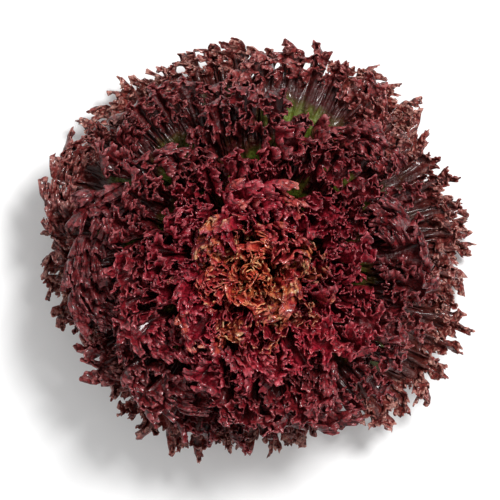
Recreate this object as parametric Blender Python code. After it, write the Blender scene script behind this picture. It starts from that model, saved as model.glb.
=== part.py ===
"""A head of lollo rosso lettuce, as cut: 44 frilled leaves round a short stem.

Run it with: blender --background --python part.py

The head stands on the flat cut face of its stem, with the origin at that face's centre and +Z up.
Every leaf lies on a shell of its own. The shells are nested bowls that start on the stem, one above
another, and open out over the dome of the head, so leaves that cover each other never meet. A leaf
is drawn on its shell by a distance along the bowl's wall and a direction round the stem, and its
frills swing from that shell towards the next ones in and out.
"""

import math

import bmesh
import bpy
import numpy as np

# Arrangement of the leaves, with ages from 0 at the heart to 1 at the outermost leaf.
LEAF_COUNT = 44
DIVERGENCE = math.radians(137.508)  # the turn from each leaf to the next one in
FIRST_DIRECTION = math.radians(-2.0)  # of the outermost leaf, from +X
LEAN = 0.20  # how far the head leans towards -Y, for each metre of height
SEED = 20

# Stem, in metres.
STEM_RADIUS = 0.0150
STEM_TIP_RADIUS = 0.0030
STEM_SHOULDER = 0.012  # where the stem starts to narrow
STEM_HEIGHT = 0.050
STEM_SIDES = 20
BUTT_ROUNDING = 0.0012  # at the rim of the cut face
GAP = 0.0004  # between a leaf's foot and the stem

# Shells: where they leave the stem, and how steeply a leaf starts and ends on them.
ROOT_HEIGHTS = (0.0450, 0.0085)  # heart, outermost
START_STEEPNESS = ((-0.05, 95.0), (0.12, 80.0), (1.05, 24.0))  # degrees, by age
END_STEEPNESS = ((-0.05, 103.0), (0.12, 66.0), (0.5, 16.0), (1.05, -38.0))  # degrees, by age
BEND = 1.3  # above 1, a leaf bends more towards its tip
LEAF_LENGTHS = ((0.0, 0.070), (0.25, 0.098), (0.5, 0.116), (0.75, 0.121), (1.0, 0.123))
SHELL_STEPS = 20  # for the sum along a bowl's wall

# Outline of a leaf on its shell: a foot, and a fan round a centre at FAN_CENTRE of its length.
FOOT_WIDTH = math.radians(14.0)  # to each side, as a turn round the stem
FAN_WIDTHS = ((0.0, 62.0), (0.06, 54.0), (0.12, 42.0), (1.0, 27.0))  # degrees to each side, by age
FAN_CENTRE = 0.56
FAN_REACH = math.radians(108.0)  # how far the frilled edge runs round the fan, to each side
FAN_SQUARENESS = 0.82  # 1 is an ellipse, and less is squarer

# Frills.
STEP = 1.0 / (LEAF_COUNT - 1)  # from one shell to the next
FRILL_SWINGS = ((0.0, 0.8), (0.12, 0.8), (0.2, 1.18))  # how far frills swing, in steps, by age
FRILL_LENGTH = 0.0250  # from crest to crest along the edge
FRILL_START = 0.42  # how far out on the blade the frills begin, from 0 at the foot to 1 at the edge
TOOTH = 0.028  # how far crests stand out past the edge, and hollows draw in, for each length
RAYS_PER_FRILL = 4
ROWS = (0.0, 0.14, 0.34, 0.58, 0.80, 1.0)
HALVINGS = (3, 3, 2, 1, 0, 0)  # how often each row's number of rays is halved

# Thickness.
EDGE_THICKNESS = 0.0009
FRILL_THICKENING = 0.6  # more thickness across the shell where the blade stands steeply to it
RIB_THICKNESSES = (0.0011, 0.0030)  # at the foot: heart, outermost
RIB_FADE = 0.55  # how far out the rib runs, and how wide it is at the foot, as shares of the blade

# Reach of the outer leaves by direction from +X, in degrees: a few leaves stand out past the rest.
LOBES = ((0, 1.05), (18, 1.01), (50, 1.00), (72, 1.14), (103, 1.03), (136, 1.06), (156, 1.10),
         (188, 0.95), (208, 0.94), (240, 1.03), (273, 0.95), (293, 0.91), (325, 1.11), (346, 0.91),
         (358, 1.05), (360, 1.05))
LOBE_FADE = 0.45  # the age at which the lobes begin

SKINS = {
    "outer": ((0.105, 0.018, 0.024, 1.0), 0.42),
    "middle": ((0.200, 0.016, 0.030, 1.0), 0.40),
    "heart": ((0.380, 0.075, 0.040, 1.0), 0.40),
    "stem": ((0.620, 0.650, 0.420, 1.0), 0.55),
}
OUTER_AGE = 0.62
HEART_AGE = 0.20


def clear_scene():
    """Removes what the startup scene holds."""
    for obj in list(bpy.data.objects):
        bpy.data.objects.remove(obj, do_unlink=True)


def skin(name):
    """The material of that name, made once."""
    found = bpy.data.materials.get(name)
    if found:
        return found
    colour, roughness = SKINS[name]
    made = bpy.data.materials.new(name)
    made.use_nodes = True
    shader = made.node_tree.nodes["Principled BSDF"]
    shader.inputs["Base Color"].default_value = colour
    shader.inputs["Roughness"].default_value = roughness
    shader.inputs["Metallic"].default_value = 0.0
    made.diffuse_color = colour
    return made


def between(pair, age):
    """The value at that age, given those at the heart and at the outermost leaf."""
    heart, outermost = pair
    return heart + (outermost - heart) * age


def by_age(table, age):
    """The value at that age in a table of ages and values."""
    ages, values = zip(*table)
    return np.interp(age, ages, values)


def stem_radius(height):
    """Radius of the stem, which narrows above its shoulder."""
    share = np.clip((height - STEM_SHOULDER) / (STEM_HEIGHT - STEM_SHOULDER), 0.0, 1.0)
    return STEM_RADIUS + (STEM_TIP_RADIUS - STEM_RADIUS) * share


def on_shell(age, along, direction):
    """Points on the shells of those ages, that far along the wall and in those directions, and the
    directions in which the wall faces there, which is up and in towards the heart."""
    root_height = between(ROOT_HEIGHTS, age)
    start = np.radians(by_age(START_STEEPNESS, age))
    end = np.radians(by_age(END_STEEPNESS, age))
    full = by_age(LEAF_LENGTHS, age)
    foot_half = between(RIB_THICKNESSES, age) / 2.0
    out = stem_radius(root_height) + GAP + foot_half * np.sin(start)
    up = root_height
    for step in range(SHELL_STEPS):
        share = along * (step + 0.5) / SHELL_STEPS
        steepness = start + (end - start) * (share / full) ** BEND
        out = out + np.cos(steepness) * along / SHELL_STEPS
        up = up + np.sin(steepness) * along / SHELL_STEPS
    steepness = start + (end - start) * (along / full) ** BEND
    facing_out, facing_up = -np.sin(steepness), np.cos(steepness)
    return tuple(
        np.stack([far * np.cos(direction), far * np.sin(direction) - LEAN * high, high], axis=-1)
        for far, high in ((out, up), (facing_out, facing_up))
    )


def lobe_reach(direction, age):
    """How much longer or shorter than its shell's usual leaf one is, for the head's outline."""
    bearings, reaches = zip(*LOBES)
    reach = np.interp(math.degrees(direction) % 360.0, bearings, reaches)
    return 1.0 + (reach - 1.0) * min(1.0, max(0.0, (age - LOBE_FADE) / (1.0 - LOBE_FADE)))


def signed_power(value, power):
    """The value's size to that power, with its sign kept."""
    return np.sign(value) * np.abs(value) ** power


class Leaf:
    """One leaf: its place on the stem, and the thin solid that stands for it."""

    def __init__(self, number, draws):
        self.name = f"leaf_{number:02d}"
        self.age = 1.0 - (number - 1) * STEP
        self.direction = FIRST_DIRECTION + (number - 1) * DIVERGENCE
        self.length = by_age(LEAF_LENGTHS, self.age) * lobe_reach(self.direction, self.age)
        self.length *= 1.0 + draws.uniform(-0.03, 0.03)
        self.fan_width = math.radians(by_age(FAN_WIDTHS, self.age))
        self.swing = STEP * by_age(FRILL_SWINGS, self.age)
        self.phase = draws.uniform(0.0, 2.0 * math.pi)
        self.frills = self.count_frills()

    def edge(self, across):
        """The frilled edge before it is frilled, as distances along and turns round the stem."""
        turn = across * FAN_REACH
        along = FAN_CENTRE + (1.0 - FAN_CENTRE) * signed_power(np.cos(turn), FAN_SQUARENESS)
        return along * self.length, self.fan_width * signed_power(np.sin(turn), FAN_SQUARENESS)

    def count_frills(self):
        """How many frills fit along the edge."""
        along, turn = self.edge(np.linspace(-1.0, 1.0, 65))
        points, _ = on_shell(self.age, along, turn)
        run = np.linalg.norm(np.diff(points, axis=0), axis=1).sum()
        return max(4, 2 * round(run / FRILL_LENGTH / 2.0))

    def row(self, out, rays):
        """One row across the blade, at that share of the way from foot to edge: its points, and how
        far the leaf's two faces lie from them, to each side."""
        across = np.linspace(-1.0, 1.0, rays + 1)
        wave = self.phase + 2.0 * math.pi * self.frills * (across + 1.0) / 2.0
        grown = max(0.0, (out - FRILL_START) / (1.0 - FRILL_START))
        crest = np.abs(np.sin(wave)) - 0.5
        edge_along, edge_turn = self.edge(across)
        along = out * edge_along * (1.0 + TOOTH * crest * grown**2)
        turn = (1.0 - out) * FOOT_WIDTH * across + out * edge_turn
        age = self.age + self.swing * grown * np.sin(wave)
        points, facing = on_shell(age, along, self.direction + turn)
        rib = between(RIB_THICKNESSES, self.age) - EDGE_THICKNESS
        rib *= max(0.0, 1.0 - out / RIB_FADE)
        thickness = EDGE_THICKNESS * (1.0 + FRILL_THICKENING * grown)
        thickness = thickness + rib * np.exp(-((across / RIB_FADE) ** 2))
        return points, facing * thickness[:, None] / 2.0

    def build(self):
        """Makes the leaf's object: an upper and a lower face with the same triangles, and a rim."""
        rays = self.frills * RAYS_PER_FRILL
        counts = [math.ceil(rays / 2**halving) for halving in HALVINGS]
        rows = [self.row(out, count) for out, count in zip(ROWS, counts)]
        starts = np.cumsum([0] + [count + 1 for count in counts]).tolist()
        lower = []
        for row in range(len(ROWS) - 1):
            lower += stitch(starts[row], counts[row], starts[row + 1], counts[row + 1])
        middle = np.concatenate([points for points, _ in rows])
        offset = np.concatenate([offsets for _, offsets in rows])
        lift = starts[-1]
        upper = [(a + lift, c + lift, b + lift) for a, b, c in lower]
        mesh = bpy.data.meshes.new(self.name)
        points = np.concatenate([middle - offset, middle + offset])
        mesh.from_pydata(points.tolist(), [], lower + upper + rim(starts, counts, lift))
        rank = "outer" if self.age > OUTER_AGE else "heart" if self.age < HEART_AGE else "middle"
        mesh.materials.append(skin(rank))
        bpy.context.scene.collection.objects.link(bpy.data.objects.new(self.name, mesh))


def rim(starts, counts, lift):
    """Triangles round the outline of a leaf, between its upper face and its lower one."""
    first, last = starts[0], starts[-2]
    outline = list(range(first, first + counts[0] + 1))
    outline += [start + count for start, count in zip(starts[1:], counts[1:])]
    outline += list(range(last + counts[-1] - 1, last - 1, -1))
    outline += starts[-3:0:-1]
    triangles = []
    for here, there in zip(outline, outline[1:] + outline[:1]):
        triangles += [(here, here + lift, there), (there, here + lift, there + lift)]
    return triangles


def stitch(lower, lower_count, upper, upper_count):
    """Triangles between two rows, where the upper one has as many rays or about twice as many."""
    triangles = []
    low = high = 0
    while low < lower_count or high < upper_count:
        low_next = (low + 1) / lower_count
        high_next = (high + 1) / upper_count
        if low < lower_count and (high == upper_count or low_next <= high_next + 1e-9):
            triangles.append((lower + low, lower + low + 1, upper + high))
            low += 1
        else:
            triangles.append((lower + low, upper + high + 1, upper + high))
            high += 1
    return triangles


def build_stem():
    """The short stem, turned round its own leaning axis, with a flat cut face below."""
    profile = [(0.0, 0.0), (STEM_RADIUS - BUTT_ROUNDING, 0.0), (STEM_RADIUS, BUTT_ROUNDING)]
    profile += [(stem_radius(height), height) for height in (STEM_SHOULDER, STEM_HEIGHT)]
    profile.append((0.0, STEM_HEIGHT + STEM_TIP_RADIUS / 2.0))
    shape = bmesh.new()
    points = [shape.verts.new((out, 0.0, up)) for out, up in profile]
    edges = [shape.edges.new(pair) for pair in zip(points, points[1:])]
    bmesh.ops.spin(shape, geom=points + edges, cent=(0, 0, 0), axis=(0, 0, 1), dvec=(0, 0, 0),
                   angle=2.0 * math.pi, steps=STEM_SIDES, use_merge=True)
    bmesh.ops.remove_doubles(shape, verts=shape.verts, dist=1e-6)
    bmesh.ops.recalc_face_normals(shape, faces=shape.faces)
    for point in shape.verts:
        point.co.y -= LEAN * point.co.z
    mesh = bpy.data.meshes.new("stem")
    shape.to_mesh(mesh)
    shape.free()
    mesh.shade_smooth()
    mesh.set_sharp_from_angle(angle=math.radians(40.0))
    mesh.materials.append(skin("stem"))
    bpy.context.scene.collection.objects.link(bpy.data.objects.new("stem", mesh))


def main():
    """Builds the stem, then the leaves from the outermost inwards."""
    clear_scene()
    build_stem()
    draws = np.random.default_rng(SEED)
    for number in range(1, LEAF_COUNT + 1):
        Leaf(number, draws).build()


main()
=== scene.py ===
"""A cut head of lollo rosso lettuce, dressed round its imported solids.

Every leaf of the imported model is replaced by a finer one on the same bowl: a thin sheet whose margin
is several times longer than the ground it covers, so it folds, and its folds fold again. The stem
gets a cut face, leaf scars and fibres. A studio with one soft light gives the photograph's view.
"""

from __future__ import annotations

import logging
import math
from collections.abc import Callable
from dataclasses import astuple, dataclass, replace
from enum import Enum
from functools import partial
from math import radians

import bmesh
import bpy
import numpy as np
from bpy.types import Material, Mesh, Node, NodeSocket, Object
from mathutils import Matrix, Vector
from numpy import ndarray

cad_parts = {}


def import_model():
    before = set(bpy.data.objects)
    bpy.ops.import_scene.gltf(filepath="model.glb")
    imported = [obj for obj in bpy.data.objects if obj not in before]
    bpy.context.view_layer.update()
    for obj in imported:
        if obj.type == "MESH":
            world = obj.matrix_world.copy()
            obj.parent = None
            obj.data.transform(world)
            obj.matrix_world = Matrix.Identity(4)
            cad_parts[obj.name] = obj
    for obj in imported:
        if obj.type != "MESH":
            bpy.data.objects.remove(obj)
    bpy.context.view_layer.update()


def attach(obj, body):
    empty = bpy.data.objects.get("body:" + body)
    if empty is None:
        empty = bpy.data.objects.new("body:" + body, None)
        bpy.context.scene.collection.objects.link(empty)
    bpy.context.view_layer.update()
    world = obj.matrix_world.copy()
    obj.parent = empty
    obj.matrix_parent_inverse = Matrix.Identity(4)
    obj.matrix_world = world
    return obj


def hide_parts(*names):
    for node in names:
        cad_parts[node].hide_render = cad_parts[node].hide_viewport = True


LOG = logging.getLogger("lollo_rosso")
MM = 0.001
FULL_TURN = 2.0 * math.pi
UV_BORDER = 0.01
FLAT = 0.9
UPRIGHT = 0.5
Span = tuple[float, float]
Table = tuple[Span, ...]
Panes = list[tuple[int, ...]]

# Kinds of shader node, and settings of theirs.
NOISE = "ShaderNodeTexNoise"
RAMP = "ShaderNodeMapRange"
MATHS = "ShaderNodeMath"
MIX = "ShaderNodeMix"
SMOOTH = {"interpolation_type": "SMOOTHSTEP"}
SUM = {"operation": "MULTIPLY_ADD"}
PRODUCT = {"operation": "MULTIPLY"}
COLOURS = {"data_type": "RGBA"}
# Places of a mix node's share, its two colours and the colour that comes out.
SHARE, FIRST, SECOND, MIXED = 0, 6, 7, 2


class Rank(Enum):
    """The groups of leaves that take one finish each, named as the record's slots."""

    OUTER = "outer"
    MIDDLE = "middle"
    HEART = "heart"


def by_age(table: Table, age: ndarray | float) -> ndarray:
    """Looks an age up in a table.

    Args:
        table: Ages from 0, the heart, to 1, the outermost leaf, each with a value.
        age: One age or several.

    Returns:
        The value at each age.
    """
    ages, values = zip(*table)
    return np.interp(age, ages, values)


def ease(value: ndarray | float) -> ndarray:
    """Turns a share into one that starts and ends gently."""
    held = np.clip(value, 0.0, 1.0)
    return held * held * (3.0 - 2.0 * held)


def forwardness(swing: ndarray) -> ndarray:
    """How far a sheet gets for each metre of it, when it swings to and fro by those angles."""
    samples = 16
    beat = np.sin((np.arange(samples) + 0.5) * math.pi / samples - math.pi / 2.0)
    return np.cos(np.multiply.outer(swing, beat)).mean(axis=-1)


def signed_power(value: ndarray, power: float) -> ndarray:
    """Raises the size of each value to a power and keeps its sign."""
    return np.sign(value) * np.abs(value) ** power


def totals(steps: ndarray) -> ndarray:
    """Adds the steps up, starting from nought."""
    return np.concatenate([[0.0], np.cumsum(steps)])


def running_sum(value: ndarray, run: float = 1.0) -> ndarray:
    """Sums up the values between neighbours, over a run of that length."""
    return totals((value[1:] + value[:-1]) * run / (2.0 * (len(value) - 1)))


@dataclass(frozen=True)
class HeadForm:
    """The nested bowls that the leaves lie on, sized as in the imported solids.

    Only the outermost bowls bend down further, and the outline's lobes differ a little.
    """

    leaves: int = 44
    divergence: float = radians(137.508)
    first_direction: float = radians(-2.0)
    lean: float = 0.20
    stem_radius: float = 0.0150
    stem_tip_radius: float = 0.0030
    stem_shoulder: float = 0.012
    stem_height: float = 0.050
    gap: float = 0.4 * MM
    least_gap: float = 0.2 * MM
    root_heights: Span = (0.0450, 0.0085)
    start_steepness: Table = ((-0.05, 95.0), (0.12, 80.0), (1.05, 24.0))
    end_steepness: Table = ((-0.05, 103.0), (0.12, 66.0), (0.5, 16.0), (0.8, -16.0), (1.05, -50.0))
    bend: float = 1.3
    leaf_lengths: Table = ((0.0, 0.070), (0.25, 0.098), (0.5, 0.116), (0.75, 0.121), (1.0, 0.123))
    shell_steps: int = 20
    rib_thicknesses: Span = (0.0011, 0.0030)
    lobes: Table = ((0, 1.06), (18, 1.01), (34, 1.05), (50, 1.04), (72, 1.16), (103, 1.02),
                    (120, 1.07), (136, 1.00), (156, 1.12), (172, 1.09), (188, 0.97), (208, 0.92),
                    (240, 1.04), (273, 0.93), (293, 0.77), (325, 1.08), (346, 0.84), (360, 1.06))
    lobe_fade: float = 0.45

    @property
    def step(self) -> float:
        """The difference in age between a leaf and the next one in."""
        return 1.0 / (self.leaves - 1)

    def radius_of_stem(self, height: ndarray | float) -> ndarray:
        """The stem's radius at a height: it narrows above its shoulder."""
        run = self.stem_height - self.stem_shoulder
        share = np.clip((height - self.stem_shoulder) / run, 0.0, 1.0)
        return self.stem_radius + (self.stem_tip_radius - self.stem_radius) * share

    def between(self, pair: Span, age: ndarray | float) -> ndarray:
        """The value at an age, from those at the heart and at the outermost leaf."""
        return pair[0] + (pair[1] - pair[0]) * age

    def profile(self, age: ndarray, along: ndarray) -> tuple[ndarray, ...]:
        """Follows the walls of bowls from the stem.

        Args:
            age: The age of each bowl.
            along: How far along its wall each point is, in metres.

        Returns:
            Distance from the axis, height, and the wall's steepness at each point.
        """
        root = self.between(self.root_heights, age)
        start, end = (np.radians(by_age(table, age))
                      for table in (self.start_steepness, self.end_steepness))
        full = by_age(self.leaf_lengths, age)
        foot_half = self.between(self.rib_thicknesses, age) / 2.0
        out = self.radius_of_stem(root) + self.gap + foot_half * np.sin(start)
        high = root
        for step in range(self.shell_steps):
            share = along * (step + 0.5) / self.shell_steps
            steepness = start + (end - start) * (share / full) ** self.bend
            out = out + np.cos(steepness) * along / self.shell_steps
            high = high + np.sin(steepness) * along / self.shell_steps
        return out, high, start + (end - start) * (along / full) ** self.bend

    def place(self, age: ndarray, along: ndarray, direction: ndarray) -> ndarray:
        """Points on the bowls of those ages, that far along the wall and in those directions."""
        out, high, _ = self.profile(age, along)
        return np.stack([out * np.cos(direction), out * np.sin(direction) - self.lean * high, high],
                        axis=-1)

    def spacing(self, age: float, along: ndarray) -> tuple[ndarray, ndarray]:
        """How two bowls lie to each other at places along the wall.

        Args:
            age: The age of the bowl.
            along: How far along its wall each place is, in metres.

        Returns:
            How far apart they are, and how far they are shifted along the wall, in metres for each
            unit of age.
        """
        near, far = age - self.step, age + self.step
        (near_out, near_high, _), (far_out, far_high, _), (_, _, steepness) = (
            self.profile(np.full_like(along, bowl), along) for bowl in (near, far, age))
        across, up = far_out - near_out, far_high - near_high
        gap = across * np.sin(steepness) - up * np.cos(steepness)
        slip = across * np.cos(steepness) + up * np.sin(steepness)
        return np.maximum(gap, self.least_gap) / (far - near), slip / (far - near)

    def reach(self, direction: float, age: float) -> float:
        """How much longer or shorter than usual a leaf is, for the outline of the head."""
        usual = np.interp(math.degrees(direction) % 360.0, *zip(*self.lobes))
        share = min(1.0, max(0.0, (age - self.lobe_fade) / (1.0 - self.lobe_fade)))
        return 1.0 + (float(usual) - 1.0) * share


@dataclass(frozen=True)
class Folds:
    """One size of fold in the margin: a sheet that swings to and fro as it runs on."""

    length: float
    swing: float
    whole: float
    gone: float
    unevenness: float

    def strength(self, depth: float) -> float:
        """The share of its full swing that is left at a depth from the margin."""
        return float(ease((self.gone - depth) / (self.gone - self.whole)))


@dataclass(frozen=True)
class Cuts:
    """One size of cut in the margin. They come at an uneven beat and aren't equally deep."""

    length: float
    depth: float
    fade: float
    sharpness: float
    cuts_per_shift: float
    cuts_per_depth: float
    least: float
    most: float = 2.0
    shift: float = 1.2
    unevenness: float = 0.5


@dataclass(frozen=True)
class Margin:
    """How the edge of a blade turns up, folds and is cut."""

    folds: tuple[Folds, ...] = (
        Folds(19.0 * MM, radians(105.0), whole=11.0 * MM, gone=42.0 * MM, unevenness=0.30),
        Folds(6.2 * MM, radians(95.0), whole=0.0 * MM, gone=12.0 * MM, unevenness=0.30),
        Folds(3.0 * MM, radians(64.0), whole=0.0 * MM, gone=5.0 * MM, unevenness=0.30),
    )
    fineness: Table = ((0.0, 0.80), (0.35, 0.86), (0.6, 1.0))
    sizes: Table = ((0.0, 0.60), (0.25, 0.80), (0.55, 0.96), (1.0, 0.78))
    widening: Table = ((0.0, 0.94), (0.2, 1.02), (0.6, 1.02), (1.0, 0.90))
    rates: Span = (0.62, 1.60)
    folds_per_rate: float = 2.0
    strengths: Span = (0.75, 1.08)
    strength_unevenness: float = 0.12
    folds_per_strength: float = 3.0
    turned_up: Table = ((0.0, 86.0), (0.6, 84.0), (0.85, 56.0), (1.0, 26.0))
    turning: Span = (8.0 * MM, 14.0 * MM)
    most_turn: float = radians(110.0)
    insets: Table = ((0.0, 1.5 * MM), (0.3, 9.0 * MM), (0.6, 14.0 * MM), (1.0, 8.5 * MM))
    sink: float = 1.1
    sink_reach: float = 0.8
    limit: float = 2.0
    sway: float = 0.55
    least_sway: float = 0.1 * MM
    heave: float = 2.6 * MM
    bulge: float = 4.0 * MM
    bulge_length: float = 11.0 * MM
    bulge_spread: float = 0.2
    bulge_waves: int = 9
    bulge_depths: Table = ((3.0 * MM, 0.0), (14.0 * MM, 1.0), (40.0 * MM, 1.0), (70.0 * MM, 0.0))
    teeth: Cuts = Cuts(4.6 * MM, 1.8 * MM, fade=6.0 * MM, sharpness=2.0, cuts_per_shift=4.0,
                       cuts_per_depth=3.0, least=0.15)
    lobes: Cuts = Cuts(24.0 * MM, 2.6 * MM, fade=16.0 * MM, sharpness=1.5, cuts_per_shift=3.0,
                       cuts_per_depth=1.0, least=0.10)
    calm: float = 0.30
    shown: Span = (0.92, 0.68)
    column_widths: Table = ((0.3, 2.0 * MM), (0.8, 1.0 * MM), (1.0, 0.86 * MM))

    def folds_at(self, age: float) -> tuple[Folds, ...]:
        """The folds of a leaf of that age: they are smaller towards the heart."""
        widest, *others = self.folds
        length = widest.length * float(by_age(self.sizes, age))
        swing = widest.swing * float(by_age(self.widening, age))
        finer = float(by_age(self.fineness, age))
        others = [replace(fold, length=fold.length * finer) for fold in others]
        return replace(widest, length=length, swing=swing), *others


@dataclass
class Leaf:
    """One leaf: a thin blade on its own bowl, with its margin folded at several sizes at once."""

    number: int
    form: HeadForm
    margin: Margin
    stretch: float
    foot_width: float = radians(14.0)
    fan_widths: Table = ((0.0, 62.0), (0.06, 54.0), (0.12, 42.0), (1.0, 27.0))
    fan_centre: float = 0.56
    fan_reach: float = radians(108.0)
    fan_squareness: float = 0.82
    blade_thickness: float = 0.45 * MM
    rib_width: float = 0.16
    rib_fade: float = 0.75
    depths: tuple[float, ...] = (0.0, 2.8, 6.4, 10.0, 14.0, 18.0, 22.5, 27.0, 33.0, 40.0, 52.0, 70.0,
                                 90.0)
    halvings: tuple[int, ...] = (0, 1, 1, 2, 3, 3, 3, 3, 4, 4, 4, 5, 5)
    foot_halving: int = 5
    foot_clearance: float = 9.0 * MM
    overreach: float = 1.25
    sheet_length: float = 150.0 * MM
    sheet_places: int = 601
    blade_places: int = 161
    ground_places: int = 1601
    bundle: int = 32
    least_bundles: int = 4
    wander_waves: int = 5
    wander_paces: Span = (0.5, 1.5)
    outer_age: float = 0.62
    heart_age: float = 0.20

    def __post_init__(self) -> None:
        """Works out the leaf's place, size and folds from its number."""
        self.name = f"leaf_{self.number:02d}"
        self.age = 1.0 - (self.number - 1) * self.form.step
        self.direction = self.form.first_direction + (self.number - 1) * self.form.divergence
        usual = float(by_age(self.form.leaf_lengths, self.age))
        self.length = usual * self.form.reach(self.direction, self.age) * self.stretch
        self.fan_width = radians(float(by_age(self.fan_widths, self.age)))
        self.draws = np.random.default_rng([7, self.number])
        self.folds = self.margin.folds_at(self.age)
        self.inset = float(by_age(self.margin.insets, self.age))
        self.curl_up()
        self.across = np.linspace(-1.0, 1.0, self.blade_places)
        ages = np.full(self.blade_places, self.age)
        foot, edge = (self.form.place(ages, *self.lay_out(share, self.across))
                      for share in (0.0, 1.0))
        self.rays = np.linalg.norm(edge - foot, axis=1)
        steps = np.linalg.norm(np.diff(edge, axis=0), axis=1)
        self.edge_run = float(steps.sum())
        self.fold_up(totals(steps))
        self.teeth, self.lobes = self.draw_cuts(self.margin.teeth), self.draw_cuts(self.margin.lobes)
        lobe_count = self.sheet_run / self.margin.lobes.length
        self.heave = self.wander(lobe_count / 2.0, self.margin.heave)
        self.waves = self.draws.uniform(0.0, 1.0, (self.margin.bulge_waves, 3))

    def fold_up(self, edge_runs: ndarray) -> None:
        """Works out how far the sheet is turned at each column, for each size of fold.

        Args:
            edge_runs: How far along the ground each place across the blade is, in metres.
        """
        margin = self.margin
        ground = np.linspace(0.0, self.edge_run, self.ground_places)
        across = np.interp(ground, edge_runs, self.across)
        calm = margin.calm
        hidden, open_to_view = margin.shown
        busy = calm + (1.0 - calm) * ease((hidden - np.abs(across)) / (hidden - open_to_view))
        packing, cycles = np.ones_like(ground), []
        for fold in self.folds:
            cycles.append(running_sum(packing, self.edge_run) / fold.length)
            packing = packing / forwardness(fold.swing * busy)
        self.sheet_run = float(running_sum(packing, self.edge_run)[-1])
        finer = float(by_age(margin.fineness, self.age))
        density = packing / (by_age(margin.column_widths, busy) * finer)
        count = running_sum(density, self.edge_run)
        bundles = max(self.least_bundles, round(float(count[-1]) / self.bundle))
        self.columns = self.bundle * bundles
        self.run = np.linspace(0.0, 1.0, self.columns + 1)
        here = np.interp(self.run * count[-1], count, ground)
        self.pace = count[-1] / np.interp(here, ground, density)
        self.beats, self.swings = [], []
        for fold, cycle in zip(self.folds, cycles):
            rate = 1.0 + self.wander(cycle[-1] / margin.folds_per_rate, fold.unevenness)
            rate = np.clip(rate, *margin.rates)
            turned = running_sum(rate * np.gradient(np.interp(here, ground, cycle)), self.columns)
            phase = self.draws.uniform(0.0, FULL_TURN)
            swing = 1.0 + self.wander(cycle[-1] / margin.folds_per_strength,
                                      margin.strength_unevenness)
            swing = np.clip(swing, *margin.strengths)
            self.beats.append(np.sin(FULL_TURN * turned + phase))
            self.swings.append(fold.swing * swing * np.interp(here, ground, busy))
        widest = self.folds[0].length * float(density.max())
        self.window = max(3, round(self.columns * widest / float(count[-1])))

    def curl_up(self) -> None:
        """Works out how the blade turns up towards the light as it nears its margin."""
        _, _, steepness = self.form.profile(np.array([self.age]), np.array([self.length]))
        self.steepness = float(steepness[0])
        upright = radians(float(by_age(self.margin.turned_up, self.age)))
        final = float(np.clip(upright - self.steepness, 0.0, self.margin.most_turn))
        self.sheet = np.linspace(0.0, self.sheet_length, self.sheet_places)
        whole, gone = self.margin.turning
        turns = final * ease((gone - self.sheet[:-1]) / (gone - whole))
        pace = self.sheet[1]
        self.advance, rise = totals(np.cos(turns) * pace), totals(np.sin(turns) * pace)
        self.lift = rise[-1] - rise
        self.turned = min(1.0, final / upright)
        room = float(self.form.spacing(self.age, np.array([self.length]))[0][0]) * self.form.step
        sway = self.margin.sway * self.folds[0].length * abs(math.sin(self.steepness))
        self.hold = min(1.0, self.margin.limit * room / max(sway, self.margin.least_sway))

    @property
    def rank(self) -> Rank:
        """Which group of leaves this one belongs to."""
        if self.age > self.outer_age:
            return Rank.OUTER
        return Rank.HEART if self.age < self.heart_age else Rank.MIDDLE

    def wander(self, cycles: float, size: float) -> ndarray:
        """A smooth random value along the margin.

        Args:
            cycles: About how many times it rises and falls.
            size: About how far it goes from nought.

        Returns:
            The value at each column.
        """
        total = np.zeros_like(self.run)
        for _ in range(self.wander_waves):
            pace = cycles * self.draws.uniform(*self.wander_paces)
            phase = self.draws.uniform(0.0, FULL_TURN)
            total += np.sin(FULL_TURN * pace * self.run + phase)
        return size * total / math.sqrt(self.wander_waves)

    def edge(self, across: ndarray) -> tuple[ndarray, ndarray]:
        """The margin before it is folded, as distances along and turns round the stem."""
        turn = across * self.fan_reach
        share = signed_power(np.cos(turn), self.fan_squareness)
        along = self.fan_centre + (1.0 - self.fan_centre) * share
        return along * self.length, self.fan_width * signed_power(np.sin(turn), self.fan_squareness)

    def lay_out(self, reach: ndarray | float,
                across: ndarray) -> tuple[ndarray, ndarray]:
        """Distance along the bowl and turn round the stem, for shares of the way to the margin."""
        along, turn = self.edge(across)
        return along * reach, (1.0 - reach) * self.foot_width * across + reach * turn

    def reach_at(self, depth: ndarray, across: ndarray) -> ndarray:
        """The share of the way from foot to margin at a depth of sheet from the margin."""
        rays = np.interp(across, self.across, self.rays)
        share = np.interp(depth, self.sheet, self.advance) / (self.length - self.inset)
        left = (1.0 - np.clip(share, 0.0, 1.0)) ** (self.length / rays)
        return (1.0 - self.inset / rays) * left

    def draw_cuts(self, cuts: Cuts) -> ndarray:
        """How far cuts of one size go into the margin, at each column."""
        count = self.sheet_run / cuts.length
        beat = FULL_TURN * count * self.run + self.wander(count / cuts.cuts_per_shift, cuts.shift)
        share = 1.0 + self.wander(count / cuts.cuts_per_depth, cuts.unevenness)
        share = np.clip(share, cuts.least, cuts.most)
        return cuts.depth * share * ((1.0 + np.cos(beat)) / 2.0) ** cuts.sharpness

    def meander(self, depth: float) -> tuple[ndarray, ndarray]:
        """The path of one row, as it folds to and fro.

        Args:
            depth: How far in from the margin the row lies, in metres.

        Returns:
            Share of the ground covered, and how far out the row swerves for each metre of ground.
        """
        pace = self.pace.copy()
        turns = []
        for fold, beat, swing in zip(self.folds, self.beats, self.swings):
            swing = swing * fold.strength(depth)
            turns.append(swing * beat)
            pace /= forwardness(swing)
        ahead = running_sum(np.cos(sum(turns)) * pace)
        swerve = running_sum(np.sin(sum(turns)) * pace)
        return ahead / ahead[-1], self.steady(swerve) / ahead[-1]

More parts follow.
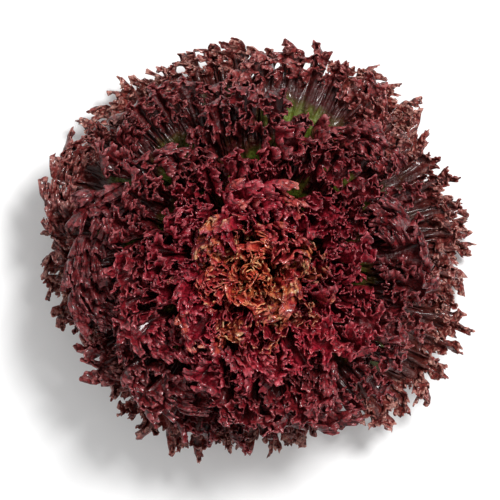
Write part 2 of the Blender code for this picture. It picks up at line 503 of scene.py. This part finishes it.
    def bulges(self, depth: float, across: ndarray) -> ndarray:
        """How high the blade stands in ridges that wind between its veins.

        Args:
            depth: How far in from the margin the row lies, in metres.
            across: The place of each column across the blade.

        Returns:
            The height at each column, in metres.
        """
        heading, evenness, phase = self.waves.T
        heading, spread = FULL_TURN * heading, self.margin.bulge_spread
        pace = FULL_TURN / self.margin.bulge_length * (1.0 + spread * (2.0 * evenness - 1.0))
        aside = np.multiply.outer(across * self.edge_run / 2.0, pace * np.cos(heading))
        waves = np.cos(aside + depth * pace * np.sin(heading) + FULL_TURN * phase)
        ridge = 1.0 - np.abs(np.clip(waves.sum(axis=1) / 2.0, -1.0, 1.0))
        return self.margin.bulge * float(by_age(self.margin.bulge_depths, depth)) * ridge

    def steady(self, path: ndarray) -> ndarray:
        """Takes the slow drift out of a path, over the length of the widest fold."""
        window = min(self.window, len(path) - 1)
        padded = np.pad(path, (window // 2, window - 1 - window // 2), mode="reflect")
        total = totals(padded)
        return path - (total[window:] - total[:-window]) / window

    def row(self, depth: float) -> tuple[ndarray, ndarray]:
        """One row of the blade.

        Args:
            depth: How far in from the margin the row lies, in metres, before the margin is cut.

        Returns:
            The row's points, and the place of each across the blade.
        """
        reach = self.reach_at(np.full_like(self.across, depth), self.across)
        along, turn = self.lay_out(reach, self.across)
        out, _, _ = self.form.profile(np.full_like(along, self.age), along)
        ahead_along, ahead_aside = np.gradient(along), out * np.gradient(turn)
        pace = np.hypot(ahead_along, ahead_aside)
        runs = running_sum(pace, len(pace) - 1.0)
        share, swerve = self.meander(depth)
        swerve = swerve * runs[-1] * self.hold
        across = np.interp(share, runs / runs[-1], self.across)
        outward = swerve * np.interp(across, self.across, ahead_aside / pace)
        sideways = -swerve * np.interp(across, self.across, ahead_along / pace)
        deep = depth + self.teeth * ease(1.0 - depth / self.margin.teeth.fade)
        deep = deep + self.lobes * ease(1.0 - depth / self.margin.lobes.fade)
        widest = self.folds[0].strength(depth)
        slope = self.steepness * widest
        along, turn = self.lay_out(self.reach_at(deep, across), across)
        along = np.clip(along + outward * math.cos(slope), 0.0, self.overreach * self.length)
        turn = turn + sideways / np.interp(across, self.across, out)
        lift = np.interp(deep, self.sheet, self.lift) + self.heave * widest
        lift = lift - outward * math.sin(slope) + self.bulges(depth, across)
        deepest = self.margin.sink_reach * self.length
        sunk = self.margin.sink * self.turned * ease(1.0 - depth / deepest)
        gap, slip = self.form.spacing(self.age, along)
        shift = lift / gap - sunk * self.form.step
        along = np.maximum(along + shift * slip, 0.0)
        return self.form.place(self.age - shift, along, self.direction + turn), across

    def thickness(self, depth: float, across: ndarray) -> ndarray:
        """How thick the leaf is at a depth from the margin: the rib fades out towards it."""
        rib = self.form.between(self.form.rib_thicknesses, self.age) - self.blade_thickness
        share = max(0.0, 1.0 - (1.0 - depth / self.length) / self.rib_fade)
        return self.blade_thickness + rib * share * np.exp(-((across / self.rib_width) ** 2))

    def rows(self) -> tuple[list[ndarray], list[ndarray], list[float], list[int]]:
        """Every row from the margin to the foot: points, thicknesses, depths and numbers of columns."""
        points, thicknesses, depths, counts = [], [], [], []
        foot = float(np.interp(self.length - self.inset, self.advance, self.sheet))
        listed = [(depth * MM, halving) for depth, halving in zip(self.depths, self.halvings)
                  if depth * MM < foot - self.foot_clearance]
        listed.append((foot, self.foot_halving))
        for depth, halving in listed:
            row, across = self.row(depth)
            stride = 2**halving
            points.append(row[::stride])
            thicknesses.append(self.thickness(depth, across)[::stride])
            depths.append(depth)
            counts.append(self.columns // stride)
        return points, thicknesses, depths, counts

    def build(self) -> Object:
        """Makes the leaf: two faces with the same panes, joined round the outline.

        Returns:
            The leaf's object, with its UV map and its attributes.
        """
        points, thicknesses, depths, counts = self.rows()
        starts = np.cumsum([0] + [count + 1 for count in counts]).tolist()
        panes: Panes = []
        for row in range(len(counts) - 1):
            panes += weave(starts[row], counts[row], starts[row + 1], counts[row + 1])
        middle = np.concatenate(points)
        thickness = np.concatenate(thicknesses)
        facing = facings(middle, panes)
        lift = len(middle)
        back = [tuple(point + lift for point in reversed(pane)) for pane in panes]
        border = outline(starts, counts)
        rim = [(here, here + lift, there + lift, there)
               for here, there in zip(border, border[1:] + border[:1])]
        offset = facing * thickness[:, None] / 2.0
        mesh = bpy.data.meshes.new(self.name)
        both = np.concatenate([middle + offset, middle - offset])
        mesh.from_pydata(both.tolist(), [], panes + back + rim)
        mesh.shade_smooth()
        self.mark(mesh, depths, counts)
        piece = bpy.data.objects.new(self.name + "_ruffled", mesh)
        bpy.context.scene.collection.objects.link(piece)
        return piece

    def mark(self, mesh: Mesh, depths: list[float], counts: list[int]) -> None:
        """Gives the leaf its UV map and the attributes that its colours follow.

        Args:
            mesh: The leaf's mesh, upper face first.
            depths: How far each row lies from the margin, in metres.
            counts: How many columns each row has.
        """
        ends = UV_BORDER, 1.0 - UV_BORDER
        along = np.concatenate([np.linspace(*ends, count + 1) for count in counts])
        depth = np.concatenate([np.full(count + 1, value) for value, count in zip(depths, counts)])
        half = 0.5 - UV_BORDER
        level = half - (half - UV_BORDER) * depth / max(depths)
        grid = np.concatenate([np.stack([along, level], 1), np.stack([along, 1.0 - level], 1)])
        corners = np.empty(len(mesh.loops), dtype=np.int32)
        mesh.loops.foreach_get("vertex_index", corners)
        layer = mesh.uv_layers.new(name="OFBake")
        layer.data.foreach_set("uv", grid[corners].astype(np.float32).ravel())
        for name, value in (("from_margin", np.tile(depth / MM, 2)),
                            ("age", np.full(2 * len(depth), self.age)),
                            ("tint", np.full(2 * len(depth), self.draws.uniform(0.0, 1.0)))):
            attribute = mesh.attributes.new(name, "FLOAT", "POINT")
            attribute.data.foreach_set("value", value.astype(np.float32))


def weave(upper: int, upper_count: int, lower: int, lower_count: int) -> Panes:
    """Panes between two rows, where the lower one has as many columns or half as many.

    Args:
        upper: Index of the first point of the row nearer the margin.
        upper_count: Its number of columns.
        lower: Index of the first point of the row nearer the foot.
        lower_count: Its number of columns.

    Returns:
        The panes, as tuples of point indices.
    """
    if upper_count == lower_count:
        return [(lower + i, lower + i + 1, upper + i + 1, upper + i) for i in range(lower_count)]
    panes: Panes = []
    for i in range(lower_count):
        a, b, c = lower + i, lower + i + 1, upper + 2 * i
        panes += [(a, c + 1, c), (a, b, c + 1), (b, c + 2, c + 1)]
    return panes


def outline(starts: list[int], counts: list[int]) -> list[int]:
    """The points round a blade, along the foot, up one side, back along the margin and down."""
    foot = list(range(starts[-2], starts[-2] + counts[-1] + 1))
    side = [start + count for start, count in zip(starts[-3::-1], counts[-2::-1])]
    edge = list(range(starts[0] + counts[0] - 1, starts[0] - 1, -1))
    return foot + side + edge + starts[1:-2]


def facings(points: ndarray, panes: Panes) -> ndarray:
    """The direction in which the sheet faces at each point.

    Args:
        points: The sheet's points.
        panes: Its panes, as point indices.

    Returns:
        One unit vector for each point.
    """
    corners = np.array([(pane[0], pane[1], pane[2], pane[-1]) for pane in panes])
    first = points[corners[:, 2]] - points[corners[:, 0]]
    second = points[corners[:, 3]] - points[corners[:, 1]]
    normal = np.cross(first, second)
    total = np.zeros_like(points)
    for corner in range(4):
        for axis in range(3):
            total[:, axis] += np.bincount(corners[:, corner], normal[:, axis], len(points))
    return total / np.maximum(np.linalg.norm(total, axis=1, keepdims=True), 1e-12)


def pick(piece: Object, test: Callable[[Vector, Vector], bool]) -> None:
    """Selects the faces that pass a test, and nothing else, on the mesh in edit mode.

    Args:
        piece: The object in edit mode.
        test: Takes the centre and the normal of a face, and tells whether to select it.
    """
    bpy.ops.mesh.select_mode(type="FACE")
    bpy.ops.mesh.select_all(action="DESELECT")
    shape = bmesh.from_edit_mesh(piece.data)
    for face in shape.faces:
        face.select_set(test(face.calc_center_median(), face.normal))
    shape.select_flush_mode()
    bmesh.update_edit_mesh(piece.data)


@dataclass
class Stem:
    """The short stem: a cut face that has dried a little, a ribbed skin and scars of old leaves."""

    form: HeadForm
    sides: int = 96
    skin_rows: int = 10
    taper_rows: int = 8
    rim: float = 1.2 * MM
    pith_radius: float = 8.4 * MM
    ring_width: float = 1.8 * MM
    ring_rise: float = 0.25 * MM
    pith_sink: float = 0.5 * MM
    scar_count: int = 3
    scar_height: float = 5.2 * MM
    scar_size: Span = (radians(26.0), 1.7 * MM)
    scar_depth: float = 0.7 * MM
    scar_lip: float = 0.3 * MM
    relief: float = 0.55 * MM
    relief_grain: float = 3.0 * MM
    relief_middle: float = 0.75

    def build(self) -> Object:
        """Models the stem in the order in which one would by hand.

        Returns:
            The stem's object.
        """
        form = self.form
        bpy.ops.object.select_all(action="DESELECT")
        bpy.ops.mesh.primitive_cylinder_add(
            vertices=self.sides, radius=form.stem_radius, depth=form.stem_shoulder,
            location=(0.0, 0.0, form.stem_shoulder / 2.0))
        piece = bpy.context.active_object
        piece.name = "stem_cut"
        bpy.ops.object.transform_apply(location=True)
        bpy.ops.object.mode_set(mode="EDIT")
        self.raise_body(piece)
        self.cut_foot(piece)
        self.scar(piece)
        bpy.ops.mesh.select_all(action="SELECT")
        bpy.ops.mesh.normals_make_consistent(inside=False)
        bpy.ops.uv.smart_project(angle_limit=radians(60.0), island_margin=UV_BORDER)
        bpy.ops.object.mode_set(mode="OBJECT")
        piece.data.uv_layers[0].name = "OFBake"
        self.roughen(piece)
        piece.data.shade_smooth()
        return piece

    def raise_body(self, piece: Object) -> None:
        """Leans the lower part over and draws the tapering upper part out of its top."""
        form = self.form
        pick(piece, lambda centre, normal: normal.z > FLAT)
        bpy.ops.transform.translate(value=(0.0, -form.lean * form.stem_shoulder, 0.0))
        pick(piece, lambda centre, normal: abs(normal.z) < UPRIGHT)
        bpy.ops.mesh.select_mode(type="EDGE")
        shape = bmesh.from_edit_mesh(piece.data)
        for edge in shape.edges:
            edge.select_set(abs(edge.verts[0].co.z - edge.verts[1].co.z) > form.stem_shoulder / 2.0)
        bmesh.update_edit_mesh(piece.data)
        bpy.ops.mesh.subdivide_edgering(number_cuts=self.skin_rows, interpolation="LINEAR")
        pick(piece, lambda centre, normal: normal.z > FLAT)
        rise = (form.stem_height - form.stem_shoulder) / self.taper_rows
        height = form.stem_shoulder
        for _ in range(self.taper_rows):
            shrink = float(form.radius_of_stem(height + rise) / form.radius_of_stem(height))
            height += rise
            self.draw_up(rise, shrink, height)
        self.draw_up(form.stem_tip_radius / 2.0, 0.5, height + form.stem_tip_radius / 2.0)

    def draw_up(self, rise: float, shrink: float, height: float) -> None:
        """Extrudes the selected face upwards along the lean and scales it round the axis."""
        bpy.ops.mesh.extrude_region_move(
            TRANSFORM_OT_translate={"value": (0.0, -self.form.lean * rise, rise)})
        bpy.ops.transform.resize(value=(shrink, shrink, 1.0),
                                 center_override=(0.0, -self.form.lean * height, height))

    def cut_foot(self, piece: Object) -> None:
        """Rounds the rim of the cut face, and insets the ring of veins and the sunken pith."""
        pick(piece, lambda centre, normal: normal.z < -FLAT)
        bpy.ops.mesh.bevel(offset=self.rim, segments=4, affect="EDGES")
        pick(piece, lambda centre, normal: normal.z < -0.999 and centre.z < self.rim / 10.0)
        face_radius = self.form.stem_radius - self.rim
        bpy.ops.mesh.inset(thickness=face_radius - self.pith_radius - self.ring_width)
        bpy.ops.mesh.inset(thickness=self.ring_width / 2.0, depth=-self.ring_rise)
        bpy.ops.mesh.inset(thickness=self.ring_width / 2.0, depth=-self.ring_rise)
        bpy.ops.mesh.inset(thickness=self.pith_radius / 2.0, depth=-self.pith_sink)

    def scar(self, piece: Object) -> None:
        """Presses in the scars where the lowest leaves were pulled off."""
        half_turn, half_height = self.scar_size
        for number in range(self.scar_count):
            heading = self.form.first_direction - (number + 1) * self.form.divergence

            def inside(centre: Vector, normal: Vector, heading: float = heading) -> bool:
                """Tells whether a face of the skin lies in this scar."""
                turn = math.atan2(centre.y + self.form.lean * centre.z, centre.x) - heading
                turn = (turn + math.pi) % FULL_TURN - math.pi
                high = (centre.z - self.scar_height) / half_height
                return abs(normal.z) < UPRIGHT and (turn / half_turn) ** 2 + high ** 2 < 1.0

            pick(piece, inside)
            bpy.ops.mesh.inset(thickness=self.scar_lip, depth=-self.scar_depth)

    def roughen(self, piece: Object) -> None:
        """Gives the skin its low relief, and leaves the cut face flat."""
        skin = piece.vertex_groups.new(name="skin")
        for vertex in piece.data.vertices:
            skin.add([vertex.index], float(ease((vertex.co.z - self.rim) / self.rim)), "REPLACE")
        grain = bpy.data.textures.new("stem_grain", "CLOUDS")
        grain.noise_scale = self.relief_grain
        relief = piece.modifiers.new("relief", "DISPLACE")
        relief.texture = grain
        relief.texture_coords = "LOCAL"
        relief.vertex_group = skin.name
        relief.mid_level = self.relief_middle
        relief.strength = self.relief
        bpy.ops.object.modifier_apply(modifier=relief.name)


def linear(colour: str) -> tuple[float, float, float, float]:
    """Turns an sRGB hex colour into linear values with full opacity."""
    parts = [int(colour[i:i + 2], 16) / 255.0 for i in (1, 3, 5)]
    red, green, blue = (p / 12.92 if p <= 0.04045 else ((p + 0.055) / 1.055) ** 2.4 for p in parts)
    return red, green, blue, 1.0


def set_inputs(node: Node, inputs: dict) -> None:
    """Fills in a node's inputs.

    Args:
        node: The node.
        inputs: A value, a hex colour or an output socket for each input, by name or number.
    """
    for name, value in inputs.items():
        if isinstance(value, NodeSocket):
            node.id_data.links.new(value, node.inputs[name])
        else:
            node.inputs[name].default_value = linear(value) if isinstance(value, str) else value


def add_node(material: Material, kind: str, output: str | int, settings: dict,
             inputs: dict) -> NodeSocket:
    """Adds a node with its settings, values and links.

    Args:
        material: The material that the node goes into.
        kind: The node's type, as Blender names it.
        output: Name or number of the output that is used.
        settings: Values of the node's own properties.
        inputs: What its inputs hold, as for set_inputs.

    Returns:
        The node's output socket.
    """
    node = material.node_tree.nodes.new(kind)
    for name, value in settings.items():
        setattr(node, name, value)
    set_inputs(node, inputs)
    return node.outputs[output]


def blank_material(name: str) -> tuple[Material, Node]:
    """A new material with its Principled shader, with nothing linked to it yet."""
    material = bpy.data.materials.new(name)
    material.use_nodes = True
    return material, material.node_tree.nodes["Principled BSDF"]


@dataclass(frozen=True)
class Grain:
    """A pattern of noise: the real size of its grains, their detail, and where it fades in."""

    size: float
    detail: float
    span: Span = (0.0, 1.0)


@dataclass(frozen=True)
class Sap:
    """The colours of leaves of one age: painted shade and light, an edge partly painted highlight, and
    painted shade deep down.
    """

    shade: str
    light: str
    edge: str
    deep: str


WAXY_LEAF = {"Roughness": 0.38, "IOR": 1.38, "Specular IOR Level": 0.35, "Coat Weight": 0.40,
             "Coat Roughness": 0.11, "Subsurface Weight": 0.12, "Subsurface Scale": 1.2 * MM,
             "Subsurface Radius": (1.0, 0.25, 0.15)}
MOIST_STEM = {"Roughness": 0.42, "IOR": 1.45, "Subsurface Weight": 0.2,
              "Subsurface Scale": 2.0 * MM}
WHITE_PAPER = {"Base Color": "#f4f4f4", "Roughness": 0.9, "Specular IOR Level": 0.1}


@dataclass(frozen=True)
class LeafFinish:
    """Living lettuce leaf, crisp and waxy: red sap over green, and paler where it is youngest.

    The eye sees dark red frills, mottled with painted light and shade in small random blobs, with
    painted highlights near the edges and painted pink glints in flecks, and tan in the heart. Deep
    pleats are darker with painted shade, bare blades are green, and the wax gives small crisp glints.
    Depths from the margin are in millimetres here.
    """

    name: str
    young: Sap
    old: Sap
    ages: Span
    cream: float = 0.0
    cream_at_edge: float = 0.8
    cream_ages: Span = (0.30, 0.15)
    cream_light: str = "#c4703c"
    cream_edge: str = "#ecc68c"
    patches: Grain = Grain(17.0 * MM, 3.0, (0.50, 0.60))
    age_drift: float = 0.22
    # Random blobs of the shade and light colours: painted light and shade.
    mottling: Grain = Grain(2.8 * MM, 2.0, (0.39, 0.61))
    # Deeper in, the face darkens towards the deep colour: painted shade in the pleats.
    pleat_mottling: Span = (0.40, 0.62)
    pleat_depths: Span = (6.0, 24.0)
    # Paler edge colour near the margin, in patches: a painted highlight on the curled edges, partly the
    # paler margin itself.
    edge_highlight_noise: Grain = Grain(3.2 * MM, 1.0, (0.46, 0.62))
    edge_highlight_depths: Span = (3.2, 0.0)
    edge_highlight_share: float = 0.7
    # Flecks of the edge colour on older leaves: painted glints.
    glint_noise: Grain = Grain(2.2 * MM, 1.0, (0.57, 0.66))
    glint_ages: Span = (0.45, 0.85)
    glint_share: float = 0.5
    green: str = "#5a6622"
    green_depths: Span = (45.0, 62.0)
    depth_drift: float = 34.0
    brightness: Span = (0.80, 1.12)
    puckers: Grain = Grain(2.0 * MM, 2.0)
    swells: Grain = Grain(5.0 * MM, 1.0)
    swell_share: float = 1.6
    relief: float = 1.3 * MM

    def make(self) -> Material:
        """Makes the leaf's material."""
        material, shader = blank_material(self.name)
        add = partial(add_node, material)
        place = add("ShaderNodeTexCoord", "Object", {}, {})
        depth, tint, age = (add("ShaderNodeAttribute", "Fac", {"attribute_name": name}, {})
                            for name in ("from_margin", "tint", "age"))
        patches, mottling, edge_highlight_noise, glint_noise, puckers, swells = (
            add(NOISE, "Fac", {}, {"Vector": place, "Scale": 1.0 / grain.size, "Detail": grain.detail})
            for grain in (self.patches, self.mottling, self.edge_highlight_noise, self.glint_noise, self.puckers,
                          self.swells))
        ageing, ragged = (add(MATHS, 0, SUM, {0: patches, 1: drift, 2: value})
                          for drift, value in ((self.age_drift, age), (self.depth_drift, depth)))
        ages = [limit + self.age_drift / 2.0 for limit in self.ages]
        aged, creamy, tipped, young, lit, lit_deep, inward, edge_highlighted, outer, glinting, glint_age_share, bare = (
            add(RAMP, 0, SMOOTH, {"Value": value, "From Min": low, "From Max": high, "To Max": top})
            for value, (low, high), top in (
                (ageing, ages, 1.0), (patches, self.patches.span, self.cream),
                (patches, self.patches.span, self.cream_at_edge), (age, self.cream_ages, 1.0),
                (mottling, self.mottling.span, 1.0), (mottling, self.pleat_mottling, 1.0),
                (depth, self.pleat_depths, 1.0), (edge_highlight_noise, self.edge_highlight_noise.span, self.edge_highlight_share),
                (depth, self.edge_highlight_depths, 1.0), (glint_noise, self.glint_noise.span, self.glint_share),
                (age, self.glint_ages, 1.0), (ragged, self.green_depths, 1.0)))
        pale, tanned, painted_edge_highlight, painted_glints = (
            add(MATHS, 0, PRODUCT, {0: first, 1: second}) for first, second in (
                (creamy, young), (tipped, young), (edge_highlighted, outer), (glinting, glint_age_share)))
        # Shade and light are painted shade and painted light; the edge is partly a painted highlight;
        # deep is painted shade.
        shade, light, edge, deep = (
            add(MIX, MIXED, COLOURS, {SHARE: aged, FIRST: first, SECOND: second})
            for first, second in zip(astuple(self.young), astuple(self.old)))
        light, edge, painted_pleat_shade = (
            add(MIX, MIXED, COLOURS, {SHARE: share, FIRST: first, SECOND: second})
            for share, first, second in ((pale, light, self.cream_light),
                                         (tanned, edge, self.cream_edge),
                                         (lit_deep, shade, deep)))
        # Over the painted shade go painted light, painted edge highlights, painted glints and painted
        # shade in the pleats, then the green of bare blades.
        colour = shade
        for share, layer in ((lit, light), (painted_edge_highlight, edge), (painted_glints, edge), (inward, painted_pleat_shade),
                             (bare, self.green)):
            colour = add(MIX, MIXED, COLOURS, {SHARE: share, FIRST: colour, SECOND: layer})
        value = add(RAMP, 0, {}, {"Value": tint, "To Min": self.brightness[0],
                                  "To Max": self.brightness[1]})
        varied = add("ShaderNodeHueSaturation", "Color", {}, {"Color": colour, "Value": value})
        height = add(MATHS, 0, SUM, {0: swells, 1: self.swell_share, 2: puckers})
        bump = add("ShaderNodeBump", "Normal", {},
                   {"Height": height, "Strength": 1.0, "Distance": self.relief})
        set_inputs(shader, {"Base Color": varied, "Normal": bump, **WAXY_LEAF})
        return material


@dataclass(frozen=True)
class StemFinish:
    """Fresh lettuce stem: pale green fibres outside, and a moist cut face that rusts at its rim.

    The eye sees drawn-out streaks that blush pink higher up, and on the softly glossy face a cream
    pith inside a thin green ring of veins.
    """

    name: str = "lettuce_stem"
    fibres: Grain = Grain(1.1 * MM, 3.0, (0.35, 0.65))
    fibre_draw: float = 0.10
    spots: Grain = Grain(2.6 * MM, 4.0)
    skin: tuple[str, str] = ("#aebf7c", "#dfe3bd")
    skin_heights: Span = (0.8 * MM, 1.6 * MM)
    blush: str = "#a8625a"
    blush_share: float = 0.8
    blush_heights: Span = (7.0 * MM, 14.0 * MM)
    blush_drift: float = 6.0 * MM
    pith: tuple[str, str] = ("#e6dfb4", "#cfd39a")
    pith_grain: Span = (0.40, 0.66)
    veins: str = "#a8ab62"
    vein_radius: float = 10.5 * MM
    vein_half: float = 0.8 * MM
    rust: str = "#7d4320"
    rust_share: float = 0.85
    rust_radii: Span = (13.2 * MM, 15.4 * MM)
    rust_drift: float = 2.4 * MM
    relief: float = 0.5 * MM
    relief_share: float = 0.8

    def make(self) -> Material:
        """Makes the stem's material."""
        material, shader = blank_material(self.name)
        add = partial(add_node, material)
        place = add("ShaderNodeTexCoord", "Object", {}, {})
        height = add("ShaderNodeSeparateXYZ", "Z", {}, {0: place})
        flat, drawn = (add("ShaderNodeMapping", 0, {}, {"Vector": place, "Scale": (1.0, 1.0, draw)})
                       for draw in (0.0, self.fibre_draw))
        out = add("ShaderNodeVectorMath", "Value", {"operation": "LENGTH"}, {0: flat})
        fibres, spots = (
            add(NOISE, "Fac", {}, {"Vector": at, "Scale": 1.0 / grain.size, "Detail": grain.detail})
            for at, grain in ((drawn, self.fibres), (place, self.spots)))
        blushing, wavering = (add(MATHS, 0, SUM, {0: spots, 1: drift, 2: value})
                              for drift, value in ((self.blush_drift, height),
                                                   (self.rust_drift, out)))
        ring = add(MATHS, 0, {"operation": "COMPARE"},
                   {0: wavering, 1: self.vein_radius, 2: self.vein_half})
        streaked, blushed, grained, rusty, outside = (
            add(RAMP, 0, SMOOTH, {"Value": value, "From Min": low, "From Max": high, "To Max": top})
            for value, (low, high), top in (
                (fibres, self.fibres.span, 1.0), (blushing, self.blush_heights, self.blush_share),
                (fibres, self.pith_grain, 1.0), (wavering, self.rust_radii, self.rust_share),
                (height, self.skin_heights, 1.0)))
        skin, face = self.skin[0], self.pith[0]
        for share, layer in ((streaked, self.skin[1]), (blushed, self.blush)):
            skin = add(MIX, MIXED, COLOURS, {SHARE: share, FIRST: skin, SECOND: layer})
        for share, layer in ((grained, self.pith[1]), (ring, self.veins), (rusty, self.rust),
                             (outside, skin)):
            face = add(MIX, MIXED, COLOURS, {SHARE: share, FIRST: face, SECOND: layer})
        bump = add("ShaderNodeBump", "Normal", {}, {"Height": fibres, "Strength": self.relief_share,
                                                    "Distance": self.relief})
        set_inputs(shader, {"Base Color": face, "Normal": bump, **MOIST_STEM})
        return material


@dataclass
class Studio:
    """The pale floor, the soft light and the camera straight above."""

    floor_size: float = 3.0
    key_place: tuple[float, float, float] = (0.58, 0.58, 1.48)
    key_aim: tuple[float, float, float] = (0.0, 0.0, 0.05)
    key_size: float = 0.42
    key_power: float = 28.0
    surround: float = 0.66
    camera_place: tuple[float, float, float] = (-0.0025, -0.0055, 1.50)
    lens: float = 174.6
    sensor: float = 36.0

    def lay_floor(self) -> None:
        """Lays the floor under the head: matt white paper, which shows soft shadows and no glint."""
        bpy.ops.mesh.primitive_plane_add(size=self.floor_size, location=(0.0, 0.0, 0.0))
        floor = bpy.context.active_object
        floor.name = "floor"
        material, shader = blank_material("white_paper_floor")
        set_inputs(shader, WHITE_PAPER)
        floor.data.materials.append(material)

    def hang_light(self) -> None:
        """Hangs the square soft key light at the upper right, inside an even white surround."""
        lamp = bpy.data.lights.new("key_light", "AREA")
        lamp.shape = "SQUARE"
        lamp.size = self.key_size
        lamp.energy = self.key_power
        holder = bpy.data.objects.new("key_light", lamp)
        holder.location = self.key_place
        aim = Vector(self.key_aim) - Vector(self.key_place)
        holder.rotation_euler = aim.to_track_quat("-Z", "Y").to_euler()
        scene = bpy.context.scene
        scene.collection.objects.link(holder)
        world = bpy.data.worlds.new("white_surround")
        world.use_nodes = True
        background = world.node_tree.nodes["Background"]
        background.inputs["Color"].default_value = (1.0, 1.0, 1.0, 1.0)
        background.inputs["Strength"].default_value = self.surround
        scene.world = world
        scene.view_settings.view_transform = "Standard"

    def place_camera(self) -> None:
        """Hangs the camera over the head, with the photograph's upper edge towards +Y."""
        camera = bpy.data.cameras.new("overhead_camera")
        camera.lens = self.lens
        camera.sensor_width = self.sensor
        holder = bpy.data.objects.new("overhead_camera", camera)
        holder.location = self.camera_place
        bpy.context.scene.collection.objects.link(holder)
        bpy.context.scene.camera = holder

    def build(self) -> None:
        """Sets up floor, light and camera."""
        self.lay_floor()
        self.hang_light()
        self.place_camera()


# Each sap gives painted shade and painted light for the face, an edge colour that is partly a painted
# highlight, and painted shade deep in the folds.
HEART_SAP = Sap("#7c1a18", "#b03a2a", "#dc8c60", "#5a2410")
CRIMSON_SAP = Sap("#580a14", "#921a2a", "#b8525c", "#440e12")
MAROON_SAP = Sap("#3c0d10", "#701e22", "#a45256", "#340f0c")
OUTER_SAP = Sap("#451816", "#803832", "#cc9688", "#3a1610")

LEAF_FINISHES = {
    Rank.OUTER: LeafFinish("lettuce_leaf_maroon", MAROON_SAP, OUTER_SAP, (0.62, 0.94)),
    Rank.MIDDLE: LeafFinish("lettuce_leaf_crimson", CRIMSON_SAP, MAROON_SAP, (0.30, 0.54), 0.6),
    Rank.HEART: LeafFinish("lettuce_leaf_heart", HEART_SAP, CRIMSON_SAP, (0.0, 0.18), 0.6),
}


def main() -> None:
    """Builds the leaves, the stem and the studio."""
    logging.basicConfig(level=logging.INFO, format="%(message)s")
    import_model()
    bpy.ops.object.select_all(action="DESELECT")
    form, margin = HeadForm(), Margin()
    finishes = {rank: finish.make() for rank, finish in LEAF_FINISHES.items()}
    draws = np.random.default_rng(20)
    total = 0
    for number in range(1, form.leaves + 1):
        stretch = 1.0 + draws.uniform(-0.03, 0.03)
        # This second draw isn't used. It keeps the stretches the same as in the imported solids.
        draws.uniform(0.0, FULL_TURN)
        leaf = Leaf(number, form, margin, stretch)
        piece = leaf.build()
        piece.data.materials.append(finishes[leaf.rank])
        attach(piece, "root")
        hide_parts(leaf.name)
        total += len(piece.data.loops) - 2 * len(piece.data.polygons)
        LOG.info("%s: %d columns, %.0f mm of margin", piece.name, leaf.columns, leaf.edge_run / MM)
    LOG.info("leaves: %d triangles", total)
    stem = Stem(form).build()
    stem.data.materials.clear()
    stem.data.materials.append(StemFinish().make())
    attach(stem, "root")
    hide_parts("stem")
    LOG.info("%s: %d faces", stem.name, len(stem.data.polygons))
    Studio().build()


if __name__ == "__main__":
    main()
